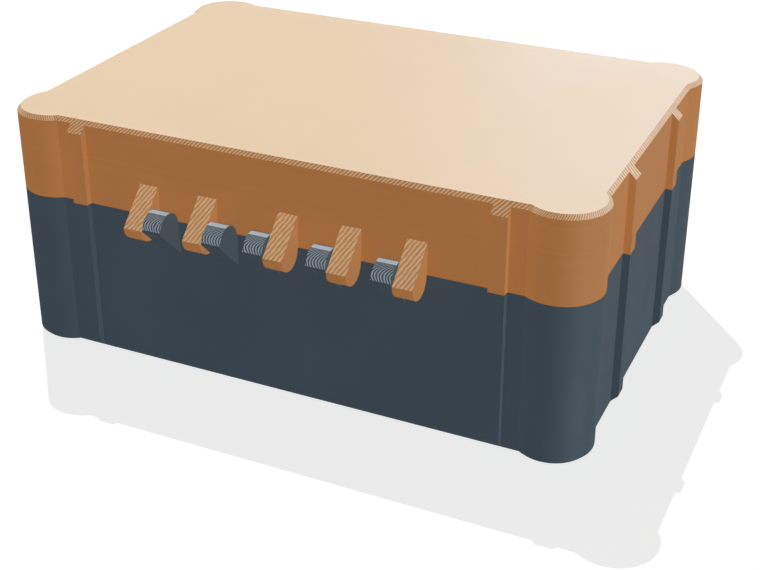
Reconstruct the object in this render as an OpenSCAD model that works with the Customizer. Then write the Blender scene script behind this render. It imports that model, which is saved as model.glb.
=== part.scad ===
// Hinged enclosure box with corner posts, ribs, a sealed rim and two swing latches.
// Millimetres, box shut and standing on its floor, origin under the middle of the floor.
// +X runs along the hinge, -Y is the hinge wall, +Y is the latch wall, +Z is up.

/* [Shell] */
// Length over the two end walls, without posts and ribs
body_l = 150; // [130:1:200]
// Width over the hinge wall and the latch wall, without posts and ribs
body_w = 101; // [80:1:150]
// Height of the base, from the floor to the parting plane
base_h = 41.5; // [38:0.5:80]
// Height of the lid, from the parting plane to the top
lid_h = 21.9; // [18:0.1:40]
// Thickness of the side walls
wall_t = 3; // [2.4:0.2:4]
// Thickness of the base's floor and of the lid's roof
floor_t = 3; // [2:0.5:5]
// 45 degree bevel round the foot of the base and the top of the lid
edge_bevel = 1; // [0.5:0.1:1.5]

/* [Corner posts and ribs] */
// Radius of the round corner posts
post_r = 10; // [8:0.5:13]
// How far posts and ribs stand out from the walls
guard_out = 1.8; // [1:0.1:3]
// Width of the ribs
rib_w = 4; // [2:0.5:8]
// Distance of a rib on a long wall from the nearest end wall
long_rib_inset = 20; // [18:0.5:22]
// Distance between the two ribs on an end wall, centre to centre
end_rib_pitch = 39.5; // [20:0.5:48]

/* [Rim and seal] */
// Width of the flat rim on each side of the seal groove
rim_land = 1.6; // [1.2:0.1:2.2]
// Height of the thickened rim, above its sloping underside
rim_h = 4.5; // [3.5:0.5:6]
// Width of the seal ring
seal_w = 2.2; // [1.6:0.1:2.8]
// Height of the seal ring
seal_h = 1.6; // [1.2:0.1:1.8]
// Bevel along the two top edges of the seal ring
seal_bevel = 0.5; // [0.2:0.1:0.6]
// Clearance between the seal ring and each side of its groove
seal_side_gap = 0.1; // [0.05:0.05:0.3]
// Depth of the seal groove in the base
groove_depth = 2.4; // [2.2:0.1:3]
// Clearance between the lid's tongue and each side of the groove
tongue_side_gap = 0.5; // [0.3:0.1:0.7]
// Clearance between the lid's tongue and the seal ring
tongue_seal_gap = 0.1; // [0.05:0.05:0.2]
// Clearance between the rims of the shut lid and the base
rim_gap = 0.1; // [0.05:0.05:0.3]

/* [Hinge] */
// Number of knuckle pairs
hinge_pairs = 5; // [2:1:6]
// Pairs, counted from the left, whose left knuckle belongs to the lid
lid_first_pairs = 2; // [1:1:5]
// Distance between pairs, centre to centre
hinge_pitch = 16.35; // [15:0.05:17]
// Radius of the round half of a knuckle
knuckle_r = 4; // [3.5:0.1:5]
// Length of one knuckle along the hinge
knuckle_l = 5; // [4:0.25:5.5]
// Gap between the two knuckles of a pair
knuckle_gap = 0.3; // [0.2:0.05:0.6]
// Gap between a knuckle and the other half's wall
knuckle_wall_gap = 0.3; // [0.2:0.05:0.6]

/* [Latches] */
// Distance of each latch from the middle of the latch wall
latch_x = 27; // [20:0.5:34]
// Width of a latch
latch_w = 14; // [10:0.5:18]
// Height of the latch pivot below the parting plane
latch_drop = 9; // [7:0.5:12]
// Thickness of the latch arm
arm_t = 3.2; // [2.4:0.1:4]
// Thickness of the hook at its tip
hook_tip_t = 1; // [0.6:0.1:2]
// Clearance between the hook tip and the lid's wall
hook_wall_gap = 0.6; // [0.4:0.1:1]
// Clearance between the hook and the top of the catch
hook_gap = 0.3; // [0.2:0.05:0.6]
// Length of the finger tab beyond the hook
tab_l = 2.7; // [1.5:0.1:6]
// How far the finger tab flares out from the arm
tab_flare = 1.4; // [0.8:0.1:2]
// Thickness of the finger tab's lip
tab_lip = 1; // [0.6:0.1:2]
// Clearance between the hanging finger tab and the base's wall
tab_wall_gap = 0.4; // [0.3:0.1:1]
// Clearance between the latch barrel and the base's wall
barrel_wall_gap = 0.6; // [0.4:0.1:1]
// Width of each ear beside a latch
ear_w = 5; // [4:0.5:7]
// How far the ears stand out beyond the latch barrel
ear_proud = 0.3; // [0:0.1:1]
// Gap between a latch and each of its ears
ear_gap = 0.3; // [0.2:0.05:0.6]
// How far the catch stands out from the lid's wall
catch_out = 3.2; // [2:0.1:4]
// Height of the catch's top above the parting plane
catch_rise = 7; // [5:0.5:9]
// Thickness of the catch at its outer edge
catch_edge = 0.9; // [0.6:0.1:2]
// How much shorter than the latch the catch is at each end
catch_inset = 0.5; // [0.2:0.1:2]
// Clearance between the shut latch arm and the catch
catch_gap = 0.4; // [0.3:0.1:0.8]

/* [Pins] */
// Diameter of all hinge and latch pins
pin_d = 3; // [2:0.1:3.2]
// Length of a hinge pin
hinge_pin_l = 6; // [4:0.5:7]
// Bevel at the ends of the pins
pin_bevel = 0.3; // [0.1:0.1:0.6]
// Radial clearance where a piece turns on a pin
run_gap = 0.05; // [0.02:0.01:0.1]
// Radial clearance where a pin is held
hold_gap = 0.02; // [0.01:0.01:0.05]
// Clearance at each end of a pin
pin_end_gap = 0.3; // [0.1:0.1:0.5]
// Thickness of the wall that closes a blind pin hole in an ear
blind_wall = 1.2; // [0.8:0.1:1.5]

/* [Hidden] */
$fn = 96;
LATCHES = 2;

TAN = "#B47F52";
SLATE = "#4A565F";
RUBBER = "#202224";
STEEL = "#B4B8BC";

// Heights
lid_z = base_h + rim_gap;
top_z = base_h + lid_h;

// Corner posts and ribs
post_x = body_l / 2 + guard_out - post_r;
post_y = body_w / 2 + guard_out - post_r;
long_rib_x = body_l / 2 - long_rib_inset;
end_rib_y = end_rib_pitch / 2;

// Rim, groove, seal and tongue, as insets from the outer walls
groove_w = seal_w + 2 * seal_side_gap;
groove_in = rim_land + groove_w;
rim_in = groove_in + rim_land;
rim_slope = rim_in - wall_t;
seal_out = rim_land + seal_side_gap;
seal_in = seal_out + seal_w;
tongue_out = rim_land + tongue_side_gap;
tongue_in = groove_in - tongue_side_gap;
seal_z = base_h - groove_depth;
tongue_z = seal_z + seal_h + tongue_seal_gap;

// Hinge axis and pins
hinge_out = knuckle_wall_gap + knuckle_r;
knuckle_reach = hinge_out + knuckle_r;
hinge_y = -body_w / 2 - hinge_out;
pair_l = 2 * knuckle_l + knuckle_gap;
hinge_pin_seat = (hinge_pin_l - knuckle_gap) / 2;

// Latch pivot, ears, hook and catch
latch_out = (catch_out + catch_gap + arm_t + tab_flare + tab_wall_gap) / 2;
latch_y = body_w / 2 + latch_out;
latch_z = base_h - latch_drop;
barrel_r = latch_out - barrel_wall_gap;
ear_r = barrel_r + ear_proud;
ear_reach = latch_out + ear_r;
ear_x = latch_w / 2 + ear_gap + ear_w / 2;
arm_in = catch_out + catch_gap - latch_out;
arm_out = arm_in + arm_t;
hook_tip = hook_wall_gap - latch_out;
hook_z = latch_drop + catch_rise + hook_gap;
hook_top = hook_z + hook_tip_t + arm_in - hook_tip;
tab_z = hook_top + tab_l;
latch_pin_start = -ear_x - ear_w / 2 + pin_end_gap;
latch_bore_end = ear_x + ear_w / 2 - blind_wall;
latch_pin_l = latch_bore_end - pin_end_gap - latch_pin_start;

// How far ribs, knuckles, ears and catches run into their wall
root = wall_t / 2;
// How far a cut runs past the face that it opens
past = 1;

function pair_x(i) = (i - (hinge_pairs + 1) / 2) * hinge_pitch;
function lid_first(i) = i <= lid_first_pairs;
function latch_side(i) = i == 1 ? -1 : 1;

// A box section: walls half a width from the middle, moved in by each step's inset at its height
function section(half, steps) = concat(
    [for (s = steps) [half - s[0], s[1]]],
    [for (i = [len(steps) - 1:-1:0]) [steps[i][0] - half, steps[i][1]]]
);

// A profile drawn in Y and Z, run along X
module along_x(length) {
    rotate([90, 0, 90])
        linear_extrude(length, center = true)
            children();
}

// A solid with the box's outline, whose inset follows [inset, height] steps:
// a beam from end wall to end wall, a beam across, and a round post where they cross at each corner
module stepped(steps) {
    rotate([90, 0, 0])
        linear_extrude(2 * post_y, center = true)
            polygon(section(body_l / 2, steps));
    along_x(2 * post_x)
        polygon(section(body_w / 2, steps));
    first_z = steps[0][1];
    last_z = steps[len(steps) - 1][1];
    wall = [for (s = steps) [post_r - s[0], s[1]]];
    for (sx = [-1, 1], sy = [-1, 1])
        translate([sx * post_x, sy * post_y, 0])
            rotate_extrude()
                polygon(concat([[0, first_z]], wall, [[0, last_z]]));
}

// A ring between two insets of the outline
module ring(outer, inner, z0, z1) {
    difference() {
        stepped([[outer, z0], [outer, z1]]);
        stepped([[inner, z0 - past], [inner, z1 + past]]);
    }
}

// Children drawn outwards from the middle of the latch wall, the hinge wall or an end wall
module latch_wall() {
    translate([0, body_w / 2, 0])
        children();
}

module hinge_wall() {
    mirror([0, 1, 0])
        latch_wall()
            children();
}

module end_wall(side) {
    rotate([0, 0, -90 * side])
        translate([0, body_l / 2, 0])
            children();
}

// The eight ribs, from one profile
module ribs(profile) {
    for (x = [-long_rib_x, long_rib_x]) {
        hinge_wall()
            translate([x, 0, 0])
                along_x(rib_w)
                    polygon(profile);
        latch_wall()
            translate([x, 0, 0])
                along_x(rib_w)
                    polygon(profile);
    }
    for (side = [-1, 1], y = [-end_rib_y, end_rib_y])
        end_wall(side)
            translate([y, 0, 0])
                along_x(rib_w)
                    polygon(profile);
}

// The half of a disc above (side 1) or below (side -1) its centre
module half_disc(out, r, side) {
    intersection() {
        translate([out, 0])
            circle(r);
        translate([out - r, side > 0 ? 0 : -r])
            square([2 * r, r]);
    }
}

// One hinge knuckle: half round on one side of the parting plane, a 45 degree gusset on the other.
// side is 1 for the lid, whose gusset is above, and -1 for the base.
module knuckle(x, side) {
    foot = side > 0 ? rim_gap : 0;
    hinge_wall()
        translate([x, 0, base_h])
            along_x(knuckle_l) {
                half_disc(hinge_out, knuckle_r, -side);
                polygon([
                    [-root, side * foot],
                    [0, side * foot],
                    [knuckle_wall_gap, 0],
                    [knuckle_reach, 0],
                    [0, side * knuckle_reach],
                    [-root, side * knuckle_reach]
                ]);
            }
}

// Where the knuckles of one half sit: the left or the right place in each pair
function knuckle_x(i, left) = pair_x(i) + (left ? -1 : 1) * (knuckle_l + knuckle_gap) / 2;

module knuckles(side) {
    for (i = [1:hinge_pairs])
        knuckle(knuckle_x(i, (side > 0) == lid_first(i)), side);
}

// Pin holes in one half's knuckles: right through a left knuckle, blind in a right one
module hinge_bores(side, d) {
    for (i = [1:hinge_pairs]) {
        left = (side > 0) == lid_first(i);
        x0 = left ? pair_x(i) - pair_l / 2 - past : pair_x(i);
        x1 = left ? pair_x(i) : pair_x(i) + knuckle_gap / 2 + hinge_pin_seat + pin_end_gap;
        translate([x0, hinge_y, base_h])
            rotate([0, 90, 0])
                cylinder(h = x1 - x0, d = d);
    }
}

// The two ears that carry one latch, half round above their pin and a gusset below
module ears(x) {
    for (s = [-1, 1])
        latch_wall()
            translate([x + s * ear_x, 0, latch_z])
                along_x(ear_w) {
                    half_disc(latch_out, ear_r, 1);
                    polygon([
                        [-root, ear_r],
                        [latch_out, ear_r],
                        [latch_out, 0],
                        [ear_reach, 0],
                        [0, -ear_reach],
                        [-root, -ear_reach]
                    ]);
                }
}

// The ledge on the lid that one latch hooks over
module catch_ledge(x) {
    latch_wall()
        translate([x, 0, base_h + catch_rise])
            along_x(latch_w - 2 * catch_inset)
                polygon([
                    [-root, 0],
                    [catch_out, 0],
                    [catch_out, -catch_edge],
                    [0, -catch_edge - catch_out],
                    [-root, -catch_edge - catch_out]
                ]);
}

// A steel pin along X with bevelled ends
module pin(length) {
    r = pin_d / 2;
    rotate([0, 90, 0])
        rotate_extrude()
            polygon([
                [0, 0],
                [r - pin_bevel, 0],
                [r, pin_bevel],
                [r, length - pin_bevel],
                [r - pin_bevel, length],
                [0, length]
            ]);
}

// The tub: floor, walls, thickened rim with the seal groove, posts, ribs, knuckles and latch ears
module base() {
    color(SLATE)
        difference() {
            union() {
                stepped([[edge_bevel, 0], [0, edge_bevel], [0, base_h]]);
                ribs([
                    [-edge_bevel, 0],
                    [guard_out, edge_bevel + guard_out],
                    [guard_out, base_h],
                    [-edge_bevel, base_h]
                ]);
                knuckles(-1);
                for (i = [1:LATCHES])
                    ears(latch_side(i) * latch_x);
            }
            stepped([
                [wall_t + edge_bevel, floor_t],
                [wall_t, floor_t + edge_bevel],
                [wall_t, base_h - rim_h - rim_slope],
                [rim_in, base_h - rim_h],
                [rim_in, base_h + past]
            ]);
            ring(rim_land, groove_in, seal_z, base_h + past);
            hinge_bores(-1, pin_d + 2 * hold_gap);
            for (i = [1:LATCHES])
                translate([latch_side(i) * latch_x - ear_x - ear_w / 2 - past, latch_y, latch_z])
                    rotate([0, 90, 0])
                        cylinder(h = latch_bore_end + ear_x + ear_w / 2 + past, d = pin_d + 2 * hold_gap);
        }
}

// The cover: roof, walls, thickened rim with its tongue, posts, ribs, knuckles and catches
module lid() {
    color(TAN)
        difference() {
            union() {
                stepped([[0, lid_z], [0, top_z - edge_bevel], [edge_bevel, top_z]]);
                ribs([
                    [-edge_bevel, lid_z],
                    [guard_out, lid_z],
                    [guard_out, top_z - edge_bevel - guard_out],
                    [-edge_bevel, top_z]
                ]);
                ring(tongue_out, tongue_in, tongue_z, lid_z + past);
                knuckles(1);
                for (i = [1:LATCHES])
                    catch_ledge(latch_side(i) * latch_x);
            }
            stepped([
                [rim_in, lid_z - past],
                [rim_in, lid_z + rim_h],
                [wall_t, lid_z + rim_h + rim_slope],
                [wall_t, top_z - floor_t - edge_bevel],
                [wall_t + edge_bevel, top_z - floor_t]
            ]);
            hinge_bores(1, pin_d + 2 * run_gap);
        }
}

// The rubber ring in the groove, with its two top edges bevelled
module rim_seal() {
    seal_top = seal_z + seal_h;
    shoulder = seal_top - seal_bevel;
    color(RUBBER)
        difference() {
            stepped([[seal_out, seal_z], [seal_out, shoulder], [seal_out + seal_bevel, seal_top]]);
            stepped([
                [seal_in, seal_z - past],
                [seal_in, shoulder],
                [seal_in - seal_bevel, seal_top],
                [seal_in - seal_bevel, seal_top + past]
            ]);
        }
}

module hinge_pin(i) {
    color(STEEL)
        translate([pair_x(i) - hinge_pin_l / 2, hinge_y, base_h])
            pin(hinge_pin_l);
}

// One swing hook, hanging down from its pin: barrel, arm, hook and finger tab.
// The profile is drawn upright, as when it is hooked on, and then turned over.
module latch(i) {
    color(TAN)
        translate([latch_side(i) * latch_x, latch_y, latch_z])
            rotate([180, 0, 0])
                difference() {
                    along_x(latch_w) {
                        circle(barrel_r);
                        polygon([
                            [arm_in, 0],
                            [arm_out, 0],
                            [arm_out, tab_z - tab_lip - tab_flare],
                            [arm_out + tab_flare, tab_z - tab_lip],
                            [arm_out + tab_flare, tab_z],
                            [arm_in, tab_z],
                            [arm_in, hook_top],
                            [hook_tip, hook_z + hook_tip_t],
                            [hook_tip, hook_z],
                            [arm_in, hook_z]
                        ]);
                    }
                    translate([-latch_w / 2 - past, 0, 0])
                        rotate([0, 90, 0])
                            cylinder(h = latch_w + 2 * past, d = pin_d + 2 * run_gap);
                }
}

module latch_pin(i) {
    color(STEEL)
        translate([latch_side(i) * latch_x + latch_pin_start, latch_y, latch_z])
            pin(latch_pin_l);
}

base();
lid();
rim_seal();
for (i = [1:hinge_pairs]) hinge_pin(i);
for (i = [1:LATCHES]) latch(i);
for (i = [1:LATCHES]) latch_pin(i);
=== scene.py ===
"""A rugged printed enclosure box, dressed for a studio picture.

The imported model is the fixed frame. The printed shells and latches are copies of its solids with
sorted surfaces and rounded edges, the seal is swept along the rim, and the pins are set out in rows.
Lengths are in metres, in the frame of the model.
"""

import logging
import math
from dataclasses import dataclass, field, replace
from enum import Enum

import bmesh
import bpy
from mathutils import Matrix, Vector


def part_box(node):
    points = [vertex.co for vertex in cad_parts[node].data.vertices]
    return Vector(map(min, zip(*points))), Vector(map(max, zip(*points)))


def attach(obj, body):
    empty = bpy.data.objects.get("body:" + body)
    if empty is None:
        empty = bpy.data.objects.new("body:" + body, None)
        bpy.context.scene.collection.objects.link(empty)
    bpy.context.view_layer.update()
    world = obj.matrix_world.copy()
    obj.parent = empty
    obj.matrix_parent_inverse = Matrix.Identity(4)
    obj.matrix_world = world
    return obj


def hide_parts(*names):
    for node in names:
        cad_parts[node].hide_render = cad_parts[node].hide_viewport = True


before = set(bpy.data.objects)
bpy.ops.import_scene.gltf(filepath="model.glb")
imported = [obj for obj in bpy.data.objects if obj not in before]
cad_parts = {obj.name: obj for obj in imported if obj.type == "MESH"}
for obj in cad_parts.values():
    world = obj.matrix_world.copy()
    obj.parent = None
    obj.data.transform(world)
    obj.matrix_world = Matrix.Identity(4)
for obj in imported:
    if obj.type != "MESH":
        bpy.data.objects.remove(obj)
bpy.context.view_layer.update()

MM = 0.001
WHOLE_TURN = 2 * math.pi
QUARTER_TURN = math.pi / 2
SEAL_NODE = "rim_seal"

# The picture's size in pixels
IMAGE_W = 760
IMAGE_H = 570

# The range that nearly all of the noise lies in
NOISE_LOW = 0.3
NOISE_HIGH = 0.7

# The heights that the seam between base and lid lies between
PARTING_Z = (41.2 * MM, 41.9 * MM)

# The base shows print lines, drawn with painted highlight stripes, on steeper faces than the other
# pieces do
BASE_SLOPE_RISE = 0.12

Triple = tuple[float, float, float]
Colour = Triple
Box = tuple[Vector, Vector]
Socket = bpy.types.NodeSocket

log = logging.getLogger("enclosure_box")


class Axis(Enum):
    """The direction in which a printed piece was built up, as a vector index."""

    X = 0
    Z = 2


class Surface(Enum):
    """The kinds of surface that a printed piece shows, in material slot order."""

    WALL = 0
    # SLOPE and EDGE carry stripes of painted highlight and painted shadow
    SLOPE = 1
    # The upward strip of a round, which gets a painted highlight
    CROWN = 2
    BED = 3
    RASTER = 4
    EDGE = 5


class Bench:
    """One material's node tree, with short ways to place nodes and join them."""

    def __init__(self, name: str) -> None:
        """Starts a material that holds only its shader and output.

        Args:
            name: The material's name.
        """
        self.material = bpy.data.materials.new(name)
        self.material.use_nodes = True
        self.tree = self.material.node_tree
        self.shader = self.tree.nodes["Principled BSDF"]

    def place(self, kind: str, **settings: object) -> bpy.types.Node:
        """Adds a node.

        Args:
            kind: The node's type name.
            settings: Properties to set on it.

        Returns:
            The new node.
        """
        node = self.tree.nodes.new(kind)
        for name, value in settings.items():
            setattr(node, name, value)
        return node

    def feed(self, target: Socket, source: object) -> None:
        """Joins a socket to another, or sets its value.

        Args:
            target: The input socket.
            source: An output socket, or a plain value.
        """
        if isinstance(source, Socket):
            self.tree.links.new(source, target)
        else:
            target.default_value = source

    def set(self, **values: object) -> None:
        """Feeds the shader's inputs.

        Args:
            values: Sources by input name, with underscores for spaces.
        """
        for name, source in values.items():
            self.feed(self.shader.inputs[name.replace("_", " ")], source)

    def millimetres(self) -> Socket:
        """Reads the object's own coordinates.

        Returns:
            The place on the object, in millimetres.
        """
        place = self.place("ShaderNodeTexCoord")
        scale = self.place("ShaderNodeVectorMath", operation="SCALE")
        self.feed(scale.inputs["Vector"], place.outputs["Object"])
        self.feed(scale.inputs["Scale"], 1 / MM)
        return scale.outputs["Vector"]

    def math(self, operation: str, first: object, second: object = 0.0) -> Socket:
        """Adds a sum.

        Args:
            operation: The Math node's operation.
            first: Its first operand.
            second: Its second operand.

        Returns:
            The result.
        """
        node = self.place("ShaderNodeMath", operation=operation)
        self.feed(node.inputs[0], first)
        self.feed(node.inputs[1], second)
        return node.outputs[0]

    def along(self, place: Socket, direction: Vector) -> Socket:
        """Measures how far a place lies along a direction.

        Args:
            place: The place.
            direction: The direction, whose length scales the result.

        Returns:
            The distance.
        """
        dot = self.place("ShaderNodeVectorMath", operation="DOT_PRODUCT")
        self.feed(dot.inputs[0], place)
        self.feed(dot.inputs[1], direction)
        return dot.outputs["Value"]

    def lines(self, distance: Socket, pitch: float) -> Socket:
        """Makes even lines.

        Args:
            distance: The distance across the lines.
            pitch: The distance from line to line.

        Returns:
            A wave from -1 between the lines to 1 on them.
        """
        return self.math("SINE", self.math("MULTIPLY", distance, WHOLE_TURN / pitch))

    def noise(self, place: Socket, grain: float, detail: float = 2.0) -> Socket:
        """Makes cloudy noise about 0.5.

        Args:
            place: The place to read it at.
            grain: The size of its largest spots.
            detail: How many finer layers it has.

        Returns:
            The noise.
        """
        node = self.place("ShaderNodeTexNoise")
        self.feed(node.inputs["Vector"], place)
        self.feed(node.inputs["Scale"], 1 / grain)
        self.feed(node.inputs["Detail"], detail)
        return node.outputs["Fac"]

    def streaks(self, distance: Socket, grain: float) -> Socket:
        """Makes noise that changes along one direction only.

        Args:
            distance: The distance along it.
            grain: The size of its largest steps.

        Returns:
            The noise, about 0.5.
        """
        node = self.place("ShaderNodeTexNoise", noise_dimensions="1D")
        self.feed(node.inputs["W"], distance)
        self.feed(node.inputs["Scale"], 1 / grain)
        return node.outputs["Fac"]

    def span(self, source: Socket, low: tuple[float, float], high: tuple[float, float]) -> Socket:
        """Maps one range of values onto another.

        Args:
            source: The value.
            low: A value of the source, and what it becomes.
            high: A larger value of the source, and what it becomes.

        Returns:
            The mapped value, kept within its range.
        """
        node = self.place("ShaderNodeMapRange", interpolation_type="SMOOTHSTEP")
        self.feed(node.inputs["Value"], source)
        self.feed(node.inputs["From Min"], low[0])
        self.feed(node.inputs["To Min"], low[1])
        self.feed(node.inputs["From Max"], high[0])
        self.feed(node.inputs["To Max"], high[1])
        return node.outputs["Result"]

    def vary(self, spots: Socket, middle: float, spread: float) -> Socket:
        """Turns noise about 0.5 into a value about another middle.

        Args:
            spots: The noise.
            middle: The middle of the value.
            spread: How far it goes either way.

        Returns:
            The value.
        """
        return self.span(spots, (NOISE_LOW, middle - spread), (NOISE_HIGH, middle + spread))

    def facing(self, direction: Vector) -> Socket:
        """Measures how squarely the surface faces along a direction, either way.

        Args:
            direction: The direction, of length 1.

        Returns:
            A share from 0, edge on, to 1.
        """
        normal = self.place("ShaderNodeTexCoord").outputs["Normal"]
        return self.math("ABSOLUTE", self.along(normal, direction))

    def blend(self, share: Socket | float, first: Socket, second: Socket) -> Socket:
        """Goes from one value to another.

        Args:
            share: How much of the second value is taken.
            first: The first value.
            second: The second value.

        Returns:
            The value between them.
        """
        step = self.math("SUBTRACT", second, first)
        return self.math("ADD", first, self.math("MULTIPLY", share, step))

    def from_corner(self, place: Socket, corner: Vector) -> tuple[Socket, Socket]:
        """Measures how far a place lies past the nearest of four corners that mirror each other.

        Args:
            place: The place.
            corner: The corner at +X and +Y.

        Returns:
            The distances outwards along X and along Y.
        """
        fold = self.place("ShaderNodeVectorMath", operation="ABSOLUTE")
        self.feed(fold.inputs[0], place)
        folded = fold.outputs["Vector"]
        across = self.math("SUBTRACT", self.along(folded, Vector((1, 0, 0))), corner.x)
        back = self.math("SUBTRACT", self.along(folded, Vector((0, 1, 0))), corner.y)
        return across, back

    def mix(self, share: Socket, first: Socket | Colour, second: Socket | Colour) -> Socket:
        """Mixes two colours.

        Args:
            share: How much of the second colour is taken.
            first: The first colour.
            second: The second colour.

        Returns:
            The mixed colour.
        """
        node = self.place("ShaderNodeMix", data_type="RGBA")
        self.feed(node.inputs["Factor"], share)
        for end, colour in (("A", first), ("B", second)):
            self.feed(node.inputs[end], colour if isinstance(colour, Socket) else (*colour, 1))
        return node.outputs["Result"]

    def shade(self, colour: Socket | Colour, tone: Socket) -> Socket:
        """Makes a colour lighter or darker.

        Args:
            colour: The colour.
            tone: What it is multiplied by.

        Returns:
            The new colour.
        """
        scale = self.place("ShaderNodeVectorMath", operation="SCALE")
        self.feed(scale.inputs["Vector"], colour)
        self.feed(scale.inputs["Scale"], tone)
        return scale.outputs["Vector"]

    def relief(self, height: Socket, depth: float, under: Socket | None = None) -> Socket:
        """Makes the surface uneven.

        Args:
            height: The unevenness, over a range of about 1.
            depth: How deep that is, in millimetres.
            under: Coarser relief that this one lies on.

        Returns:
            The surface normal.
        """
        bump = self.place("ShaderNodeBump")
        self.feed(bump.inputs["Height"], height)
        self.feed(bump.inputs["Distance"], depth * MM)
        if under is not None:
            self.feed(bump.inputs["Normal"], under)
        return bump.outputs["Normal"]


@dataclass(frozen=True)
class CornerPosts:
    """The round posts at the corners, which stand out a little from the walls."""

    radius: float = 10 * MM
    guard_out: float = 1.8 * MM
    seal_inset: float = 1.7 * MM

    def middle(self) -> Vector:
        """Finds the middle of the post at +X and +Y, from the seal that runs round it.

        Returns:
            The middle, at floor height.
        """
        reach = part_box(SEAL_NODE)[1]
        inner = self.radius - self.seal_inset
        return Vector((reach.x - inner, reach.y - inner, 0))

    def foot(self) -> float:
        """Tells how far back from a post's middle its round runs into the walls."""
        flat = self.radius - self.guard_out
        return math.sqrt(self.radius**2 - flat**2)


@dataclass(frozen=True)
class LineSet:
    """Raised lines on a slope, drawn as stripes of painted highlight and painted shadow: the direction
    across them, their pitch in millimetres, their lit and shaded tones.
    """

    across: Triple
    pitch: float
    # The painted highlight on the lines
    light: Colour
    # The tone between the lines, on the shaded side of the painted stripes
    dark: Colour


@dataclass(frozen=True)
class PrintedPlastic:
    """Plastic laid down in layers, which looks different on walls, slopes and flats. Its slopes, bevels
    and round tops carry stripes of painted highlight and painted shadow.

    Lengths are in millimetres. A bevel takes on the short sides' lines, which are paler for a painted
    sheen, as it turns sideways, from side_from to side_to.
    """

    name: str
    colour: Colour
    # The line sets' tones are stripes of painted highlight and painted shadow; the side lines are
    # paler, a painted sheen
    slope_lines: LineSet
    edge_lines: LineSet
    side_sheen_lines: LineSet
    # Pale tone painted on the upward strips of rounds: a painted highlight
    crown_highlight_tone: Colour
    # The tone of faces printed against the plate; the lid's is painted paler, a painted sheen
    bed_tone_and_sheen: Colour
    wall_roughness: float = 0.7
    wall_roughness_spread: float = 0.05
    wall_specular: float = 0.35
    slope_roughness: float = 0.6
    slope_specular: float = 0.4
    bed_roughness: float = 0.4
    bed_roughness_spread: float = 0.03
    bed_specular: float = 0.6
    bed_depth: float = 0.004
    layer_pitch: float = 0.25
    layer_depth: float = 0.01
    band_layers: int = 3
    band_share: float = 0.4
    line_depth: float = 0.035
    line_low: float = -0.6
    line_high: float = 0.8
    raster_pitch: float = 0.8
    raster_depth: float = 0.02
    raster_share: float = 0.12
    tone_spread: float = 0.035
    bed_spread: float = 0.015
    cloud_grain: float = 14.0
    bed_cloud_grain: float = 28.0
    grit_grain: float = 0.35
    spot_grain: float = 1.2
    wander_grain: float = 1.6
    wander: float = 0.8
    side_from: float = 0.1
    side_to: float = 0.65
    post_pitch: float = 0.6
    post_slant: float = 0.6

    def coats(self, layers: Axis, posts: CornerPosts) -> dict[Surface, bpy.types.Material]:
        """Makes the finish of every kind of surface.

        Args:
            layers: The direction in which the piece was built up.
            posts: The box's corner posts.

        Returns:
            A material for each kind.
        """
        return {
            Surface.WALL: self.wall(layers),
            Surface.SLOPE: self.slope(),
            Surface.CROWN: self.crown(),
            Surface.BED: self.bed(),
            Surface.RASTER: self.raster(),
            Surface.EDGE: self.edge(posts),
        }

    def toned(self, bench: Bench, colour: Socket | Colour, spots: Socket, spread: float) -> Socket:
        """Varies a colour a little from place to place.

        Args:
            bench: The material.
            colour: The colour.
            spots: Noise about 0.5.
            spread: How far the tone goes either way.

        Returns:
            The varied colour.
        """
        return bench.shade(colour, bench.vary(spots, 1.0, spread))

    def wall(self, layers: Axis) -> bpy.types.Material:
        """Makes the fine, even layers of an upright wall.

        Args:
            layers: The direction in which the piece was built up.

        Returns:
            The material.
        """
        bench = Bench(f"{self.name}_wall_{layers.name.lower()}")
        place = bench.millimetres()
        upward = Vector((0, 0, 0))
        upward[layers.value] = 1
        rise = bench.along(place, upward)
        clouds = bench.noise(place, self.cloud_grain)
        bands = bench.streaks(rise, self.band_layers * self.layer_pitch)
        spots = bench.blend(self.band_share, clouds, bands)
        grit = bench.relief(bench.noise(place, self.grit_grain), self.layer_depth)
        layer_lines = bench.lines(rise, self.layer_pitch)
        bench.set(
            Base_Color=self.toned(bench, self.colour, spots, self.tone_spread),
            Roughness=bench.vary(clouds, self.wall_roughness, self.wall_roughness_spread),
            Specular_IOR_Level=self.wall_specular,
            Normal=bench.relief(layer_lines, self.layer_depth, grit),
        )
        return bench.material

    def ridges(self, bench: Bench, place: Socket, distance: Socket, pitch: float) -> Socket:
        """Makes raised lines that wander a little.

        Args:
            bench: The material.
            place: The place on the surface.
            distance: The distance across the lines.
            pitch: The distance from line to line.

        Returns:
            Their height, from -1 to 1.
        """
        wander = bench.math("MULTIPLY", bench.noise(place, self.wander_grain), self.wander * pitch)
        return bench.lines(bench.math("ADD", distance, wander), pitch)

    def straight(self, bench: Bench, place: Socket, lines: LineSet) -> Socket:
        """Makes straight ridges.

        Args:
            bench: The material.
            place: The place on the surface.
            lines: The lines.

        Returns:
            Their height, from -1 to 1.
        """
        across = bench.along(place, Vector(lines.across).normalized())
        return self.ridges(bench, place, across, lines.pitch)

    def lined(
        self, bench: Bench, place: Socket, height: Socket, dark: Socket | Colour, light: Socket | Colour
    ) -> bpy.types.Material:
        """Finishes a slope with the ridges on it, painting a highlight on them and a shadow between
        them.

        Args:
            bench: The material.
            place: The place on the surface.
            height: The ridges' height.
            dark: The painted shadow between the ridges.
            light: The painted highlight on them.

        Returns:
            The material.
        """
        lit = bench.span(height, (self.line_low, 0.0), (self.line_high, 1.0))
        colour = bench.mix(lit, dark, light)
        bench.set(
            Base_Color=self.toned(bench, colour, bench.noise(place, self.spot_grain), self.tone_spread),
            Roughness=self.slope_roughness,
            Specular_IOR_Level=self.slope_specular,
            Normal=bench.relief(height, self.line_depth),
        )
        return bench.material

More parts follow.
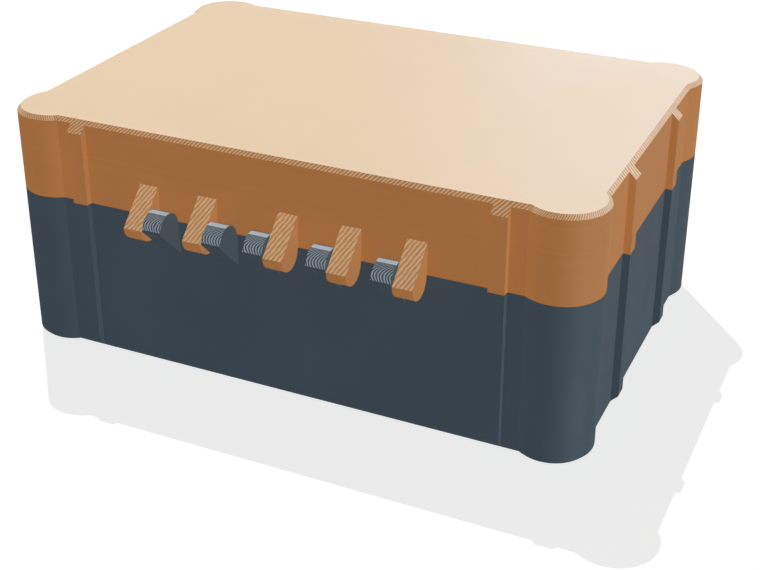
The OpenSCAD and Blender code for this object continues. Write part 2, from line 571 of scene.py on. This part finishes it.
    def slope(self) -> bpy.types.Material:
        """Makes the raised lines that layers leave on a slope or a round top, coloured as stripes of
        painted highlight and painted shadow.

        Returns:
            The material.
        """
        bench = Bench(f"{self.name}_slope")
        place = bench.millimetres()
        lines = self.slope_lines
        return self.lined(bench, place, self.straight(bench, place, lines), lines.dark, lines.light)

    def edge(self, posts: CornerPosts) -> bpy.types.Material:
        """Makes the bevel along the top edge, whose stripes of painted highlight and painted shadow
        differ on long sides, short sides and posts. They are paler where the bevel faces along X, which
        gives a painted sheen.

        Args:
            posts: The posts that the edge runs round.

        Returns:
            The material.
        """
        bench = Bench(f"{self.name}_edge")
        place = bench.millimetres()
        # Where the bevel faces along X its stripes take the paler painted sheen of the side lines
        sideways = bench.facing(Vector((1, 0, 0)))
        turned = bench.span(sideways, (self.side_from, 0.0), (self.side_to, 1.0))
        sides = bench.blend(
            turned,
            self.straight(bench, place, self.edge_lines),
            self.straight(bench, place, self.side_sheen_lines),
        )
        across, back = bench.from_corner(place, posts.middle() / MM)
        on_post = bench.math("GREATER_THAN", bench.math("MINIMUM", across, back), -posts.foot() / MM)
        arc = bench.math("MULTIPLY", bench.math("ARCTAN2", back, across), posts.radius / MM)
        slanted = bench.math("ADD", arc, bench.along(place, Vector((0, 0, self.post_slant))))
        height = bench.blend(on_post, sides, self.ridges(bench, place, slanted, self.post_pitch))
        dark = bench.mix(turned, self.edge_lines.dark, self.side_sheen_lines.dark)
        light = bench.mix(turned, self.edge_lines.light, self.side_sheen_lines.light)
        return self.lined(bench, place, height, dark, light)

    def crown(self) -> bpy.types.Material:
        """Makes the painted highlight along the top of a round: a pale tone where the round faces up.

        Returns:
            The material.
        """
        bench = Bench(f"{self.name}_crown")
        place = bench.millimetres()
        spots = bench.noise(place, self.spot_grain)
        bench.set(
            Base_Color=self.toned(bench, self.crown_highlight_tone, spots, self.tone_spread),
            Roughness=self.bed_roughness,
            Specular_IOR_Level=self.bed_specular,
            Normal=bench.relief(bench.noise(place, self.grit_grain), self.layer_depth),
        )
        return bench.material

    def bed(self) -> bpy.types.Material:
        """Makes the smooth satin face that was printed against the build plate; on the lid its tone is
        painted paler, a painted sheen.

        Returns:
            The material.
        """
        bench = Bench(f"{self.name}_bed")
        place = bench.millimetres()
        clouds = bench.noise(place, self.bed_cloud_grain)
        grit = bench.noise(place, self.grit_grain)
        bench.set(
            Base_Color=self.toned(bench, self.bed_tone_and_sheen, clouds, self.bed_spread),
            Roughness=bench.vary(clouds, self.bed_roughness, self.bed_roughness_spread),
            Specular_IOR_Level=self.bed_specular,
            Normal=bench.relief(grit, self.bed_depth),
        )
        return bench.material

    def raster(self) -> bpy.types.Material:
        """Makes the diagonal strokes that close a flat on the open side of a print.

        Returns:
            The material.
        """
        bench = Bench(f"{self.name}_raster")
        place = bench.millimetres()
        across = bench.along(place, Vector((1, 1, 0)).normalized())
        strokes = bench.lines(across, self.raster_pitch)
        marks = bench.math("MULTIPLY", strokes, self.raster_share)
        spots = bench.math("ADD", marks, bench.noise(place, self.cloud_grain))
        bench.set(
            Base_Color=self.toned(bench, self.colour, spots, self.tone_spread),
            Roughness=self.wall_roughness,
            Specular_IOR_Level=self.wall_specular,
            Normal=bench.relief(strokes, self.raster_depth),
        )
        return bench.material


TAN = PrintedPlastic(
    name="tan_print",
    colour=(0.313, 0.13, 0.0388),
    # Stripes of painted highlight and painted shadow; the side lines are paler, a painted sheen
    slope_lines=LineSet(
        across=(0.42, -0.82, 0.55), pitch=0.43, light=(0.552, 0.346, 0.187), dark=(0.37, 0.193, 0.083)
    ),
    edge_lines=LineSet(
        across=(0.38, -0.82, 0.43), pitch=0.38, light=(0.529, 0.306, 0.16), dark=(0.293, 0.1455, 0.0594)
    ),
    side_sheen_lines=LineSet(
        across=(0.25, -0.9, 0.35), pitch=1.12, light=(0.7, 0.49, 0.346), dark=(0.4, 0.267, 0.173)
    ),
    # A painted highlight on the upward strips of rounds
    crown_highlight_tone=(0.64, 0.375, 0.188),
    # The lid's top is painted paler than its walls: a painted sheen
    bed_tone_and_sheen=(0.775, 0.562, 0.366),
)
LATCH_TAN = replace(TAN, name="latch_print", bed_tone_and_sheen=(0.35, 0.155, 0.05))
# Pale painted highlight stripes on a tone close to the slate's own colour
SLATE_HIGHLIGHT_LINES = LineSet(
    across=(0.38, -0.82, 0.43), pitch=0.28, light=(0.238, 0.283, 0.328), dark=(0.032, 0.0467, 0.0582)
)
SLATE = PrintedPlastic(
    name="slate_print",
    colour=(0.0354, 0.0492, 0.0632),
    slope_lines=SLATE_HIGHLIGHT_LINES,
    edge_lines=SLATE_HIGHLIGHT_LINES,
    side_sheen_lines=SLATE_HIGHLIGHT_LINES,
    # A painted highlight on the upward strips of rounds
    crown_highlight_tone=(0.46, 0.575, 0.68),
    bed_tone_and_sheen=(0.036, 0.054, 0.072),
)


@dataclass(frozen=True)
class SealRubber:
    """Soft black rubber with a dull, faintly dusty skin. Lengths are in millimetres."""

    colour: Colour = (0.012, 0.013, 0.014)
    bloom: Colour = (0.035, 0.036, 0.038)
    roughness: float = 0.7
    grain: float = 0.3
    depth: float = 0.012
    dust_grain: float = 9.0
    dust_detail: float = 4.0
    dust_from: float = 0.4
    dust_to: float = 0.75

    def material(self) -> bpy.types.Material:
        """Makes the finish.

        Returns:
            The material.
        """
        bench = Bench("seal_rubber")
        place = bench.millimetres()
        dust = bench.noise(place, self.dust_grain, self.dust_detail)
        dusty = bench.span(dust, (self.dust_from, 0.0), (self.dust_to, 1.0))
        bench.set(
            Base_Color=bench.mix(dusty, self.colour, self.bloom),
            Roughness=self.roughness,
            Normal=bench.relief(bench.noise(place, self.grain), self.depth),
        )
        return bench.material


@dataclass(frozen=True)
class GroundSteel:
    """Steel rod with the fine rings of centreless grinding. Lengths are in millimetres."""

    colour: Colour = (0.58, 0.59, 0.61)
    roughness: float = 0.28
    roughness_spread: float = 0.07
    ring_pitch: float = 0.12
    depth: float = 0.004

    def material(self) -> bpy.types.Material:
        """Makes the finish.

        Returns:
            The material.
        """
        bench = Bench("pin_steel")
        place = bench.millimetres()
        lengthwise = bench.along(place, Vector((1, 0, 0)))
        rings = bench.streaks(lengthwise, self.ring_pitch)
        bench.set(
            Base_Color=(*self.colour, 1),
            Metallic=1.0,
            Roughness=bench.vary(rings, self.roughness, self.roughness_spread),
            Normal=bench.relief(rings, self.depth),
        )
        return bench.material


@dataclass(frozen=True)
class FloorPaint:
    """A matt white sweep with some light of its own, so that shadows on it stay pale."""

    colour: Colour = (0.47, 0.47, 0.47)
    glow: float = 0.78

    def material(self, name: str) -> bpy.types.Material:
        """Makes the finish.

        Args:
            name: The material's name.

        Returns:
            The material.
        """
        bench = Bench(name)
        bench.set(
            Base_Color=(*self.colour, 1),
            Roughness=1.0,
            Specular_IOR_Level=0.0,
            Emission_Color=(1, 1, 1, 1),
            Emission_Strength=self.glow,
        )
        return bench.material


def new_piece(name: str, mesh: bpy.types.Mesh) -> bpy.types.Object:
    """Puts a mesh in the scene.

    Args:
        name: The piece's name.
        mesh: Its mesh.

    Returns:
        The object, at the origin.
    """
    piece = bpy.data.objects.new(name, mesh)
    bpy.context.scene.collection.objects.link(piece)
    return piece


def settle(piece: bpy.types.Object) -> None:
    """Turns what a piece's modifiers make into its plain mesh.

    Args:
        piece: The piece.
    """
    shown = piece.evaluated_get(bpy.context.evaluated_depsgraph_get())
    mesh = bpy.data.meshes.new_from_object(shown)
    mesh.name = piece.name
    piece.modifiers.clear()
    piece.data = mesh


def stand_for(piece: bpy.types.Object, body: str, nodes: list[str]) -> None:
    """Ties a finished piece to the frame.

    Args:
        piece: The piece.
        body: The body that it moves with.
        nodes: The nodes that it stands for.
    """
    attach(piece, body)
    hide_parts(*nodes)


@dataclass
class PrintedPiece:
    """A printed shell or hook: a node's solid with sorted surfaces and rounded edges."""

    node: str
    body: str
    slot: str
    layers: Axis
    coats: dict[Surface, bpy.types.Material]
    parting_z: tuple[float, float] | None = None
    edge_round: float = 0.22 * MM
    weld: float = 0.002 * MM
    flat_rise: float = 0.975
    slope_rise: float = 0.25
    bed_reach: float = 0.3 * MM
    edge_reach: float = 2.5 * MM
    flat_angle: float = math.radians(0.5)
    strip_angle: float = math.radians(1)
    sharp_angle: float = math.radians(28)
    shortest_edge: float = 0.6 * MM
    round_steps: int = 2

    def build(self) -> bpy.types.Object:
        """Makes the piece and ties it to the frame.

        Returns:
            The piece.
        """
        solid = self.merged()
        self.sort_surfaces(solid)
        self.round_edges(solid)
        mesh = bpy.data.meshes.new(f"{self.node}_print")
        solid.to_mesh(mesh)
        solid.free()
        for surface in Surface:
            mesh.materials.append(self.coats[surface])
        mesh.shade_smooth()
        mesh.set_sharp_from_angle(angle=self.sharp_angle)
        piece = new_piece(f"{self.node}_print", mesh)
        even = piece.modifiers.new("even_normals", "WEIGHTED_NORMAL")
        even.keep_sharp = True
        settle(piece)
        stand_for(piece, self.body, [self.node])
        return piece

    def merged(self) -> bmesh.types.BMesh:
        """Copies the node's triangles and joins them into whole faces.

        Returns:
            The closed solid.
        """
        solid = bmesh.new()
        solid.from_mesh(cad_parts[self.node].data)
        bmesh.ops.remove_doubles(solid, verts=solid.verts, dist=self.weld)
        bmesh.ops.dissolve_limit(
            solid, angle_limit=self.flat_angle, verts=solid.verts, edges=solid.edges
        )
        solid.normal_update()
        return solid

    def sort_surfaces(self, solid: bmesh.types.BMesh) -> None:
        """Gives each face the material slot of its kind of surface.

        Args:
            solid: The solid.
        """
        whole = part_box(self.node)
        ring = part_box(SEAL_NODE)
        for face in solid.faces:
            face.material_index = self.kind_of(face, whole, ring).value

    def kind_of(self, face: bmesh.types.BMFace, whole: Box, ring: Box) -> Surface:
        """Tells what kind of surface a face belongs to.

        Args:
            face: The face.
            whole: The solid's box.
            ring: The seal's box.

        Returns:
            The kind of surface.
        """
        low, high = whole
        axis = self.layers.value
        rise = face.normal[axis]
        place = face.calc_center_median()[axis]
        inside = self.is_inside(face, ring)
        # Upward strips of rounds get the painted highlight
        if rise > self.flat_rise and self.is_rounded(face) and not inside:
            return Surface.CROWN
        if abs(rise) > self.flat_rise:
            at_end = min(place - low[axis], high[axis] - place) < self.bed_reach
            return Surface.BED if at_end else Surface.RASTER
        if rise > self.slope_rise and high[axis] - place < self.edge_reach:
            return Surface.EDGE
        if rise > self.slope_rise and not inside:
            return Surface.SLOPE
        return Surface.WALL

    def round_edges(self, solid: bmesh.types.BMesh) -> None:
        """Rounds the outer edges, apart from those along the parting plane and at tiny steps.

        Args:
            solid: The solid.
        """
        tight = {
            vertex
            for edge in solid.edges
            if edge.calc_length() < self.shortest_edge and self.is_sharp(edge)
            for vertex in edge.verts
        }
        edges = [
            edge
            for edge in solid.edges
            if self.is_sharp(edge)
            and edge.is_convex
            and not tight.intersection(edge.verts)
            and not self.is_parting(edge)
        ]
        bmesh.ops.bevel(
            solid,
            geom=edges,
            offset=self.edge_round,
            offset_type="OFFSET",
            segments=self.round_steps,
            profile=0.5,
            affect="EDGES",
            clamp_overlap=True,
            loop_slide=True,
            material=-1,
        )
        bmesh.ops.remove_doubles(solid, verts=solid.verts, dist=self.weld)
        solid.normal_update()

    def is_rounded(self, face: bmesh.types.BMFace) -> bool:
        """Tells whether a face is a strip of a round surface."""
        turns = [edge.calc_face_angle(0.0) for edge in face.edges]
        return any(self.strip_angle < turn < self.sharp_angle for turn in turns)

    def is_inside(self, face: bmesh.types.BMFace, ring: Box) -> bool:
        """Tells whether a face lies inside the enclosure.

        Args:
            face: The face.
            ring: The box of the seal that runs round the rim.

        Returns:
            Whether the face's middle lies within it, seen from above.
        """
        low, high = ring
        place = face.calc_center_median()
        return low.x < place.x < high.x and low.y < place.y < high.y

    def is_sharp(self, edge: bmesh.types.BMEdge) -> bool:
        """Tells whether the surface turns sharply at an edge."""
        return edge.calc_face_angle(0.0) > self.sharp_angle

    def is_parting(self, edge: bmesh.types.BMEdge) -> bool:
        """Tells whether an edge lies along the plane where base and lid meet.

        Args:
            edge: The edge.

        Returns:
            Whether both its ends lie within the parting heights.
        """
        if self.parting_z is None:
            return False
        return all(self.parting_z[0] < vertex.co.z < self.parting_z[1] for vertex in edge.verts)


class NodeTree:
    """A Geometry Nodes tree with named inputs."""

    def __init__(self, name: str) -> None:
        """Starts a tree that takes a geometry and gives one.

        Args:
            name: The tree's name.
        """
        self.tree = bpy.data.node_groups.new(name, "GeometryNodeTree")
        self.sockets: dict[str, str] = {}
        self.tree.interface.new_socket("Geometry", in_out="INPUT", socket_type="NodeSocketGeometry")
        self.tree.interface.new_socket("Geometry", in_out="OUTPUT", socket_type="NodeSocketGeometry")
        self.entry = self.tree.nodes.new("NodeGroupInput")
        self.exit = self.tree.nodes.new("NodeGroupOutput")

    def input(self, name: str, kind: str) -> None:
        """Adds a named input.

        Args:
            name: The input's name.
            kind: Its socket type, without the common start of such names.
        """
        socket = self.tree.interface.new_socket(name, in_out="INPUT", socket_type=f"NodeSocket{kind}")
        self.sockets[name] = socket.identifier

    def node(self, kind: str, sources: dict[str, object], **settings: object) -> bpy.types.Node:
        """Adds a node and feeds its inputs.

        Args:
            kind: The node's type name, without the common start of such names.
            sources: What feeds each input: a socket, the name of a tree input, or a value.
            settings: Properties to set on the node.

        Returns:
            The new node.
        """
        node = self.tree.nodes.new(f"GeometryNode{kind}")
        for name, value in settings.items():
            setattr(node, name, value)
        for name, source in sources.items():
            if isinstance(source, str):
                source = self.entry.outputs[source]
            if isinstance(source, Socket):
                self.tree.links.new(source, node.inputs[name])
            else:
                node.inputs[name].default_value = source
        return node

    def close(self, geometry: Socket) -> None:
        """Ends the tree in real geometry with its material set.

        Args:
            geometry: What the tree has made.
        """
        self.input("Material", "Material")
        real = self.node("RealizeInstances", {"Geometry": geometry})
        dressed = self.node("SetMaterial", {"Geometry": real.outputs[0], "Material": "Material"})
        self.tree.links.new(dressed.outputs[0], self.exit.inputs["Geometry"])

    def run(self, piece: bpy.types.Object, **values: object) -> None:
        """Runs the tree on a piece and keeps the result as its mesh.

        Args:
            piece: The piece, whose mesh is the tree's geometry input.
            values: A value for each named input, with underscores for spaces.
        """
        modifier = piece.modifiers.new(self.tree.name, "NODES")
        modifier.node_group = self.tree
        for name, value in values.items():
            modifier[self.sockets[name.replace("_", " ")]] = value
        settle(piece)


def row_tree() -> NodeTree:
    """Makes a tree that sets out copies of its geometry in a straight row.

    Returns:
        The tree, with the row's count, start and step as inputs.
    """
    tree = NodeTree("pin_row")
    tree.input("Count", "Int")
    tree.input("Start", "Vector")
    tree.input("Step", "Vector")
    layout = {"Count": "Count", "Start Location": "Start", "Offset": "Step"}
    spots = tree.node("MeshLine", layout, mode="OFFSET")
    copies = tree.node("InstanceOnPoints", {"Points": spots.outputs["Mesh"], "Instance": "Geometry"})
    tree.close(copies.outputs["Instances"])
    return tree


def sweep_tree() -> NodeTree:
    """Makes a tree that sweeps a rounded oblong along a loop of edges.

    Returns:
        The tree, with the oblong's sizes as inputs.
    """
    tree = NodeTree("seal_sweep")
    tree.input("Width", "Float")
    tree.input("Height", "Float")
    tree.input("Rounding", "Float")
    tree.input("Corner Steps", "Int")
    loop = tree.node("MeshToCurve", {"Mesh": "Geometry"})
    level = tree.node("SetCurveNormal", {"Curve": loop.outputs["Curve"]}, mode="Z_UP")
    oblong = tree.node("CurvePrimitiveQuadrilateral", {"Width": "Width", "Height": "Height"})
    corners = {"Curve": oblong.outputs["Curve"], "Radius": "Rounding", "Count": "Corner Steps"}
    rounded = tree.node("FilletCurve", corners, mode="POLY")
    sweep = {"Curve": level.outputs["Curve"], "Profile Curve": rounded.outputs["Curve"]}
    ring = tree.node("CurveToMesh", sweep)
    tree.close(ring.outputs["Mesh"])
    return tree


@dataclass
class PinRow:
    """Ground steel pins in a straight row, with chamfered and slightly domed ends."""

    name: str
    nodes: list[str]
    body: str
    slot: str
    steel: bpy.types.Material
    tree: NodeTree
    chamfer: float = 0.3 * MM
    dome: float = 0.08 * MM
    sides: int = 40
    sharp_angle: float = math.radians(20)

    def build(self) -> bpy.types.Object:
        """Makes the row and ties it to the frame.

        Returns:
            The piece.
        """
        boxes = [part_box(node) for node in self.nodes]
        middles = [(low + high) / 2 for low, high in boxes]
        size = boxes[0][1] - boxes[0][0]
        piece = new_piece(self.name, self.one_pin(size.x, size.z / 2))
        step = (middles[-1] - middles[0]) / (len(middles) - 1)
        self.tree.run(piece, Count=len(middles), Start=middles[0], Step=step, Material=self.steel)
        stand_for(piece, self.body, self.nodes)
        return piece

    def one_pin(self, length: float, radius: float) -> bpy.types.Mesh:
        """Makes one pin along the X axis, with its middle at the origin.

        Args:
            length: Its length.
            radius: Its radius.

        Returns:
            The pin's mesh.
        """
        half = length / 2
        rings = [
            (half - self.dome, radius - self.chamfer),
            (half - self.chamfer, radius),
            (self.chamfer - half, radius),
            (self.dome - half, radius - self.chamfer),
        ]
        turns = [step * WHOLE_TURN / self.sides for step in range(self.sides)]
        points = [(x, r * math.cos(turn), r * math.sin(turn)) for x, r in rings for turn in turns]
        tips = [(half, 0.0, 0.0), (-half, 0.0, 0.0)]
        mesh = bpy.data.meshes.new(self.name)
        mesh.from_pydata(points + tips, [], self.faces(len(rings)))
        mesh.shade_smooth()
        mesh.set_sharp_from_angle(angle=self.sharp_angle)
        return mesh

    def faces(self, rings: int) -> list[tuple[int, ...]]:
        """Joins rings of points to each other, and the outer ones to the tips after them.

        Args:
            rings: How many rings there are.

        Returns:
            The faces, as the numbers of their points.
        """
        front_tip = rings * self.sides
        back_tip = front_tip + 1
        last = front_tip - self.sides
        faces = []
        for side in range(self.sides):
            beside = (side + 1) % self.sides
            faces.append((front_tip, side, beside))
            for here in range(0, last, self.sides):
                there = here + self.sides
                faces.append((here + side, there + side, there + beside, here + beside))
            faces.append((back_tip, last + beside, last + side))
        return faces


@dataclass
class RimSeal:
    """The rubber ring that lies in the rim's groove, bulging round each corner post."""

    node: str
    body: str
    slot: str
    rubber: bpy.types.Material
    posts: CornerPosts
    tree: NodeTree
    width: float = 2.2 * MM
    rounding: float = 0.5 * MM
    corner_steps: int = 4
    arc_steps: int = 24
    sharp_angle: float = math.radians(35)

    def build(self) -> bpy.types.Object:
        """Sweeps the ring and ties it to the frame.

        Returns:
            The piece.
        """
        low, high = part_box(self.node)
        path = self.path((low.z + high.z) / 2)
        mesh = bpy.data.meshes.new("seal_ring")
        mesh.from_pydata(path, [(i, (i + 1) % len(path)) for i in range(len(path))], [])
        piece = new_piece("seal_ring", mesh)
        self.tree.run(
            piece,
            Width=self.width,
            Height=high.z - low.z,
            Rounding=self.rounding,
            Corner_Steps=self.corner_steps,
            Material=self.rubber,
        )
        piece.data.shade_smooth()
        piece.data.set_sharp_from_angle(angle=self.sharp_angle)
        stand_for(piece, self.body, [self.node])
        return piece

    def path(self, height: float) -> list[Vector]:
        """Lays out the middle of the ring: straight runs between arcs round the posts.

        Args:
            height: The height of its middle.

        Returns:
            The points of the closed path, anticlockwise.
        """
        radius = self.posts.radius - self.posts.seal_inset - self.width / 2
        centre = self.posts.middle().to_2d()
        run_offset = radius - self.posts.guard_out
        half_open = math.acos(run_offset / radius)
        points = []
        for corner in range(4):
            turn = Matrix.Rotation(corner * QUARTER_TURN, 2)
            across = centre if corner % 2 == 0 else Vector((centre.y, centre.x))
            middle = turn @ across
            for step in range(self.arc_steps + 1):
                angle = -half_open + step / self.arc_steps * (QUARTER_TURN + 2 * half_open)
                spoke = turn @ Vector((math.cos(angle), math.sin(angle))) * radius
                points.append(Vector((*(middle + spoke), height)))
        return points


@dataclass(frozen=True)
class Sun:
    """A far lamp whose light falls along one direction."""

    name: str
    power: float
    path: Triple = (23.0, -28.2, -62.4)
    spread: float = math.radians(0.25)

    def hang(self, lit: bpy.types.Collection) -> None:
        """Hangs the lamp.

        Args:
            lit: What it lights.
        """
        lamp = bpy.data.lights.new(self.name, "SUN")
        lamp.energy = self.power
        lamp.angle = self.spread
        holder = bpy.data.objects.new(self.name, lamp)
        holder.rotation_mode = "QUATERNION"
        holder.rotation_quaternion = Vector(self.path).to_track_quat("-Z", "Y")
        holder.light_linking.receiver_collection = lit
        bpy.context.scene.collection.objects.link(holder)


@dataclass(frozen=True)
class Softbox:
    """A soft lamp that faces the object.

    Its radiance is the brightness of its face. It may cast shadows, show in glossy surfaces and
    light matt ones.
    """

    name: str
    place: Triple
    size: tuple[float, float]
    radiance: float
    tint: Colour = (1.0, 1.0, 1.0)
    shadow: bool = False
    gloss: bool = False
    diffuse: bool = True

    def hang(self, lit: bpy.types.Collection) -> None:
        """Hangs the lamp.

        Args:
            lit: What it lights.
        """
        place = Vector(self.place)
        width, height = self.size
        lamp = bpy.data.lights.new(self.name, "AREA")
        lamp.shape = "RECTANGLE"
        lamp.size = width
        lamp.size_y = height
        lamp.energy = self.radiance * math.pi * width * height
        lamp.color = self.tint
        lamp.use_shadow = self.shadow
        lamp.cycles.use_multiple_importance_sampling = self.shadow
        holder = bpy.data.objects.new(self.name, lamp)
        holder.location = place
        holder.rotation_mode = "QUATERNION"
        holder.rotation_quaternion = (-place).to_track_quat("-Z", "Y")
        holder.visible_camera = False
        holder.visible_glossy = self.gloss
        holder.visible_diffuse = self.diffuse
        holder.light_linking.receiver_collection = lit
        bpy.context.scene.collection.objects.link(holder)


FLOOR_SUN = Sun("floor_sun", power=1.66)
KEY_SUN = Sun("key_sun", power=0.6)
SOFTBOXES = (
    Softbox(
        "back_softbox",
        place=(0.0, 1.05, 0.44),
        size=(0.75, 0.7),
        radiance=2.3,
        tint=(0.62, 0.82, 1.0),
        shadow=True,
        gloss=True,
    ),
    Softbox(
        "back_left_softbox",
        place=(-0.75, 0.95, 0.44),
        size=(0.75, 0.7),
        radiance=1.0,
        tint=(1.0, 0.93, 0.81),
        shadow=True,
        gloss=True,
    ),
    Softbox("front_softbox", place=(-0.3, -0.98, 0.2), size=(0.9, 0.8), radiance=4.1),
    Softbox("right_softbox", place=(1.0, 0.05, 0.15), size=(0.6, 0.6), radiance=9.0),
    Softbox("left_softbox", place=(-0.98, 0.2, 0.2), size=(0.6, 0.5), radiance=4.0),
    Softbox("sheen_softbox", place=(0.62, 0.8, -0.2), size=(0.6, 0.6), radiance=0.8, gloss=True),
    Softbox(
        "post_softbox",
        place=(0.88, -0.25, -0.42),
        size=(0.5, 0.5),
        radiance=9.0,
        tint=(0.6, 0.92, 1.0),
        gloss=True,
        diffuse=False,
    ),
    Softbox("top_softbox", place=(0.0, 0.0, 1.0), size=(0.8, 0.8), radiance=1.93),
    Softbox("floor_bounce", place=(0.0, 0.0, -0.6), size=(2.4, 2.4), radiance=0.8),
)


@dataclass
class Studio:
    """The pale floor, the lights and the camera."""

    floor_half: float = 3.0
    floor_drop: float = 0.05 * MM
    backdrop_radius: float = 6.0
    backdrop_steps: int = 4
    camera_place: Vector = field(default_factory=lambda: Vector((144.03, -308.51, 191.33)) * MM)
    camera_turn: float = math.radians(-24.552)
    camera_dip: float = math.radians(25.175)
    camera_tilt: float = math.radians(0.079)
    focal_px: float = 1402.9
    axis_px_y: float = 200.0
    sensor_w: float = 36.0
    sky: float = 0.12
    floor_only: bpy.types.Collection = field(init=False)
    floor_left_out: bpy.types.Collection = field(init=False)

    def build(self) -> None:
        """Sets up everything round the object."""
        self.floor_only = bpy.data.collections.new("floor_only")
        self.floor_left_out = bpy.data.collections.new("floor_left_out")
        self.lay_floor()
        self.hang_backdrop()
        self.light()
        self.aim_camera()
        bpy.context.scene.view_settings.view_transform = "Standard"

    def lay_floor(self) -> None:
        """Lays the floor just under the object, for the camera and the shadow alone."""
        half = self.floor_half
        square = ((-1, -1), (1, -1), (1, 1), (-1, 1))
        corners = [(x * half, y * half, -self.floor_drop) for x, y in square]
        mesh = bpy.data.meshes.new("floor")
        mesh.from_pydata(corners, [], [(0, 1, 2, 3)])
        mesh.materials.append(FloorPaint().material("floor_paint"))
        floor = new_piece("floor", mesh)
        floor.visible_diffuse = False
        floor.visible_glossy = False
        for lit, state in ((self.floor_only, "INCLUDE"), (self.floor_left_out, "EXCLUDE")):
            lit.objects.link(floor)
            lit.collection_objects[0].light_linking.link_state = state

    def hang_backdrop(self) -> None:
        """Hangs a white dome that only the camera sees, so that the floor fades into white."""
        dome = bmesh.new()
        bmesh.ops.create_icosphere(dome, subdivisions=self.backdrop_steps, radius=self.backdrop_radius)
        bmesh.ops.reverse_faces(dome, faces=dome.faces)
        mesh = bpy.data.meshes.new("backdrop")
        dome.to_mesh(mesh)
        dome.free()
        mesh.materials.append(FloorPaint(colour=(0, 0, 0), glow=1.0).material("backdrop_paint"))
        backdrop = new_piece("backdrop", mesh)
        backdrop.visible_diffuse = False
        backdrop.visible_glossy = False
        backdrop.visible_transmission = False
        backdrop.visible_shadow = False

    def light(self) -> None:
        """Hangs the suns, the softboxes and the white surround."""
        FLOOR_SUN.hang(self.floor_only)
        for lamp in (KEY_SUN, *SOFTBOXES):
            lamp.hang(self.floor_left_out)
        world = bpy.data.worlds.new("white_surround")
        world.use_nodes = True
        surround = world.node_tree.nodes["Background"]
        surround.inputs["Color"].default_value = (1, 1, 1, 1)
        surround.inputs["Strength"].default_value = self.sky
        bpy.context.scene.world = world

    def aim_camera(self) -> None:
        """Puts the camera where the picture was taken from."""
        turn = self.camera_turn
        level_reach = math.cos(self.camera_dip)
        drop = math.sin(self.camera_dip)
        ahead = Vector((math.sin(turn) * level_reach, math.cos(turn) * level_reach, -drop))
        right = Vector((math.cos(turn), -math.sin(turn), 0))
        up = right.cross(ahead)
        level = Matrix((right, up, -ahead)).transposed()
        lens = bpy.data.cameras.new("camera")
        lens.sensor_width = self.sensor_w
        lens.lens = self.focal_px * self.sensor_w / IMAGE_W
        lens.shift_y = (self.axis_px_y - IMAGE_H / 2) / IMAGE_W
        camera = bpy.data.objects.new("camera", lens)
        camera.rotation_mode = "QUATERNION"
        camera.rotation_quaternion = (level @ Matrix.Rotation(self.camera_tilt, 3, "Z")).to_quaternion()
        camera.location = self.camera_place
        bpy.context.scene.collection.objects.link(camera)
        bpy.context.scene.camera = camera


def nodes_named(start: str) -> list[str]:
    """Lists in order the model's nodes whose names start in one way."""
    return sorted(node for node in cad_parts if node.startswith(start))


def main() -> None:
    """Builds the box's pieces in order, reports each one and sets up the studio round them."""
    logging.basicConfig(level=logging.INFO, format="%(name)s: %(message)s")
    posts = CornerPosts()
    steel = GroundSteel().material()
    rubber = SealRubber().material()
    lid_coats = TAN.coats(Axis.Z, posts)
    base_coats = SLATE.coats(Axis.Z, posts)
    latch_coats = LATCH_TAN.coats(Axis.X, posts)
    rows = row_tree()
    parts: list[PrintedPiece | RimSeal | PinRow] = [
        PrintedPiece(
            "base", "base", "base_plastic", Axis.Z, base_coats, PARTING_Z, slope_rise=BASE_SLOPE_RISE
        ),
        PrintedPiece("lid", "lid", "lid_plastic", Axis.Z, lid_coats, PARTING_Z),
        PrintedPiece("latch_1", "latch_1", "latch_plastic", Axis.X, latch_coats),
        PrintedPiece("latch_2", "latch_2", "latch_plastic", Axis.X, latch_coats),
        RimSeal(SEAL_NODE, "base", "seal_rubber", rubber, posts, sweep_tree()),
        PinRow("hinge_pins", nodes_named("hinge_pin_"), "base", "pin_steel", steel, rows),
        PinRow("latch_pins", nodes_named("latch_pin_"), "base", "pin_steel", steel, rows),
    ]
    for part in parts:
        piece = part.build()
        log.info("%s rides on %s", piece.name, part.body)
    Studio().build()


if __name__ == "__main__":
    main()
